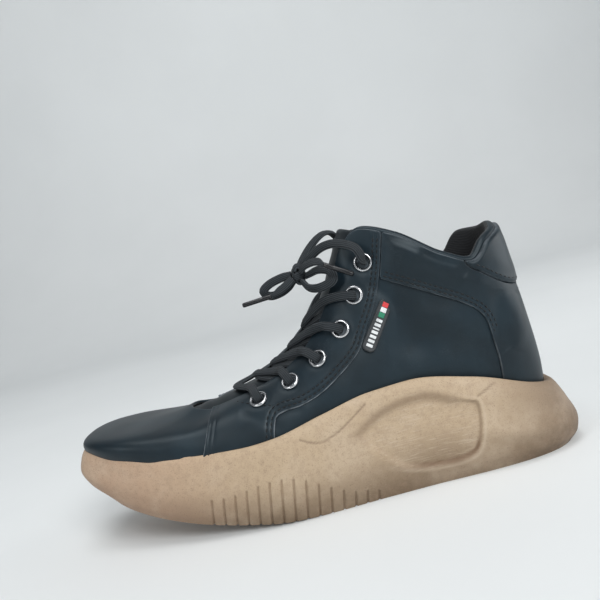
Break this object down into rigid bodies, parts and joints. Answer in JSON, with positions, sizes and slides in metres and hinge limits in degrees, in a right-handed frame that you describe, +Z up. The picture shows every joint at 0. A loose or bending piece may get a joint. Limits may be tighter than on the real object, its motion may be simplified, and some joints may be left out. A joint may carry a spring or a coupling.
{
  "type": "high-top sneaker",
  "caption": "Left high-top sneaker: hollow leather upper with padded collar and tongue, metal eyelets, tied flat laces and a thick curved rubber sole.",
  "frame": {"origin": "centre of the shoe's outline without the loose lace, at the level of the ground it stands on", "axes": "+X to the toe, +Y to the lateral side of this left shoe, +Z up"},
  "size_m": [0.296, 0.1045, 0.1526],
  "materials": {
    "gum_rubber": "matte, speckled",
    "leather": "smooth satin",
    "insole_cloth": "matte felt",
    "label_rubber": "matte",
    "eyelet_metal": "polished",
    "lace_cloth": "woven matte",
    "aglet_plastic": "glossy"
  },
  "bodies": {
    "root": {"sole": "gum_rubber", "upper": "leather", "insole": "insole_cloth", "tongue": "leather", "eyestay_lateral": "leather", "eyestay_medial": "leather", "collar_panel": "leather", "heel_tab": "leather", "label_plate": "label_rubber", "eyelet_lateral_1": "eyelet_metal", "eyelet_lateral_2": "eyelet_metal", "eyelet_lateral_3": "eyelet_metal", "eyelet_lateral_4": "eyelet_metal", "eyelet_lateral_5": "eyelet_metal", "eyelet_lateral_6": "eyelet_metal", "eyelet_medial_1": "eyelet_metal", "eyelet_medial_2": "eyelet_metal", "eyelet_medial_3": "eyelet_metal", "eyelet_medial_4": "eyelet_metal", "eyelet_medial_5": "eyelet_metal", "eyelet_medial_6": "eyelet_metal", "lace_bar": "lace_cloth", "lace_cross_1": "lace_cloth", "lace_cross_2": "lace_cloth", "lace_cross_3": "lace_cloth", "lace_cross_4": "lace_cloth", "lace_run_lateral": "lace_cloth", "lace_run_medial": "lace_cloth", "lace_loop_left": "lace_cloth", "lace_loop_right": "lace_cloth", "lace_end_left": "lace_cloth", "lace_end_right": "lace_cloth", "lace_knot": "lace_cloth", "aglet_left": "aglet_plastic", "aglet_right": "aglet_plastic"}
  },
  "joints": []
}
